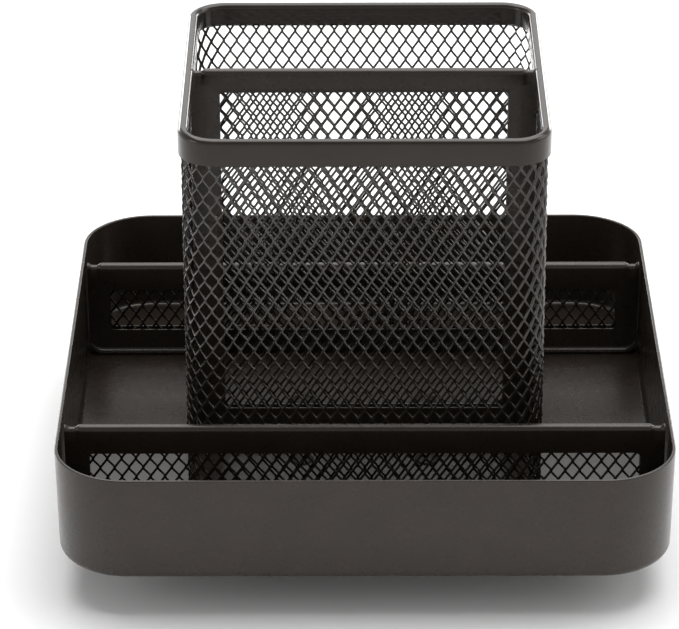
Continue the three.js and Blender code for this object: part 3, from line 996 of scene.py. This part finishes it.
def assemble_organizer():
    """The tray and everything fixed to it."""
    body = "organizer"
    finish(tray_pan(), COAT, body, "tray_pan")
    for side in ("front", "rear"):
        node = side + "_divider_frame"
        finish(tray_divider_frame(node), COAT, body, node)
        node = side + "_divider_mesh"
        panel = mesh_panel(node, side + "_diamond_mesh")
        finish(panel, MESH_COAT, body, node, sharp=ALL_SMOOTH)
    finish(divider_frame("cup_divider_frame", CUP_WINDOW, 0), COAT, body, "cup_divider_frame")
    panel = mesh_panel("cup_divider_mesh", "cup_divider_diamond_mesh")
    finish(panel, MESH_COAT, body, "cup_divider_mesh", sharp=ALL_SMOOTH)
    finish(cup_mesh(), MESH_COAT, body, "cup_mesh", sharp=ALL_SMOOTH)
    finish(cup_rim(), RIM_COAT, body, "cup_rim")
    finish(top_plate(), ZINC, body, "turntable_top_plate")
    for node in numbered("tray_rivet", 1):
        finish(rivet(node, TRAY_RIVET_SHANK), RIVET_COAT, body, node)


def assemble_turntable():
    """The base that stays on the desk, and the ring of balls that rolls on it."""
    body = "turntable_base"
    finish(base_plate(), ZINC, body, "base_plate")
    finish(rivet("pivot_rivet", PIVOT_SHANK), ZINC, body, "pivot_rivet")
    finish(pivot_washer(), NYLON, body, "pivot_washer")
    for node in numbered("rubber_foot", 1):
        finish(rubber_foot(node), RUBBER, body, node)
    body = "ball_ring"
    finish(ball_cage(), NYLON, body, "ball_cage")
    for node in numbered("bearing_ball", 2):
        finish(bearing_ball(node), STEEL, body, node, sharp=ALL_SMOOTH)


# ----------------------------------------------------------------------------------------------
# Stage, light and camera
# ----------------------------------------------------------------------------------------------


def stage_floor():
    """A wide pale floor."""
    bm = bmesh.new()
    bmesh.ops.create_grid(bm, x_segments=1, y_segments=1, size=FLOOR_HALF)
    floor = mesh_object("studio_floor", bm)
    material, nodes, links, shader = new_material("studio_floor")
    mottle = noise_node(nodes, links, scale=4, detail=2, roughness=0.5)
    colour = ramp_node(nodes, links, mottle.outputs["Fac"], [(0.3, (0.90,) * 3), (0.7, (0.92,) * 3)])
    links.new(colour.outputs["Color"], shader.inputs["Base Color"])
    shader.inputs["Roughness"].default_value = 0.9
    shader.inputs["Specular IOR Level"].default_value = 0.2
    floor.data.materials.append(material)


def softbox(name, place, target, size, watts):
    """A square area light that faces a target."""
    data = bpy.data.lights.new(name, "AREA")
    data.shape = "RECTANGLE"
    data.size, data.size_y = size
    data.energy = watts
    light = bpy.data.objects.new(name, data)
    bpy.context.scene.collection.objects.link(light)
    light.location = place
    direction = Vector(target) - Vector(place)
    light.rotation_euler = direction.to_track_quat("-Z", "Y").to_euler()


# Each softbox: its name, its place, the point it faces, its size in metres and its power in watts
SOFTBOXES = [
    ("overhead_softbox", (0.06, 0.3, 1.0), (0, 0.1, 0), (1.2, 1.0), 15),
    ("right_softbox", (1.4, 0.3, 0.9), (0, 0, 0.05), (0.9, 0.9), 5),
    ("left_softbox", (-1.2, -0.4, 0.5), (0, 0, 0.02), (0.5, 0.5), 1.5),
    ("rear_panel", (0, 1.6, 1.0), (0, 0, 0.05), (1.0, 0.9), 3.0),
    ("back_left_softbox", (-0.75, 1.3, 0.3), (0, 0, 0.1), (0.5, 0.4), 3.5),
    ("back_right_softbox", (0.75, 1.3, 0.3), (0, 0, 0.1), (0.5, 0.4), 3.5),
]


def studio_light():
    """A room that is pale at the horizon and dim overhead, and softboxes all round."""
    world = bpy.data.worlds.new("studio")
    world.use_nodes = True
    nodes, links = world.node_tree.nodes, world.node_tree.links
    place = nodes.new("ShaderNodeTexCoord")
    height = nodes.new("ShaderNodeSeparateXYZ")
    links.new(place.outputs["Generated"], height.inputs["Vector"])
    stops = [(0.0, (1.15,) * 3), (0.3, (0.58,) * 3), (0.6, (0.34,) * 3)]
    colour = ramp_node(nodes, links, height.outputs["Z"], stops)
    links.new(colour.outputs["Color"], nodes["Background"].inputs["Color"])
    bpy.context.scene.world = world
    for name, place, target, size, watts in SOFTBOXES:
        softbox(name, place, target, size, watts)


def photo_camera():
    """The camera: about a metre away and 26.5 degrees above the horizon, with a long lens."""
    pitch, yaw, roll = (
        math.radians(angle) for angle in (CAMERA_PITCH, CAMERA_YAW, CAMERA_ROLL)
    )
    data = bpy.data.cameras.new("camera")
    data.sensor_width = CAMERA_SENSOR
    data.lens = CAMERA_LENS
    camera = bpy.data.objects.new("camera", data)
    bpy.context.scene.collection.objects.link(camera)
    forward = Vector((
        math.sin(yaw) * math.cos(pitch), math.cos(yaw) * math.cos(pitch), -math.sin(pitch),
    ))
    right = Vector((math.cos(yaw), -math.sin(yaw), 0))
    up = right.cross(forward)
    across = right * math.cos(roll) + up * math.sin(roll)
    upright = up * math.cos(roll) - right * math.sin(roll)
    turn = Matrix((across, upright, -forward)).transposed().to_4x4()
    camera.matrix_world = Matrix.Translation(CAMERA_PLACE) @ turn
    bpy.context.scene.camera = camera


assemble_organizer()
assemble_turntable()
stage_floor()
studio_light()
photo_camera()
bpy.context.scene.view_settings.view_transform = "Standard"
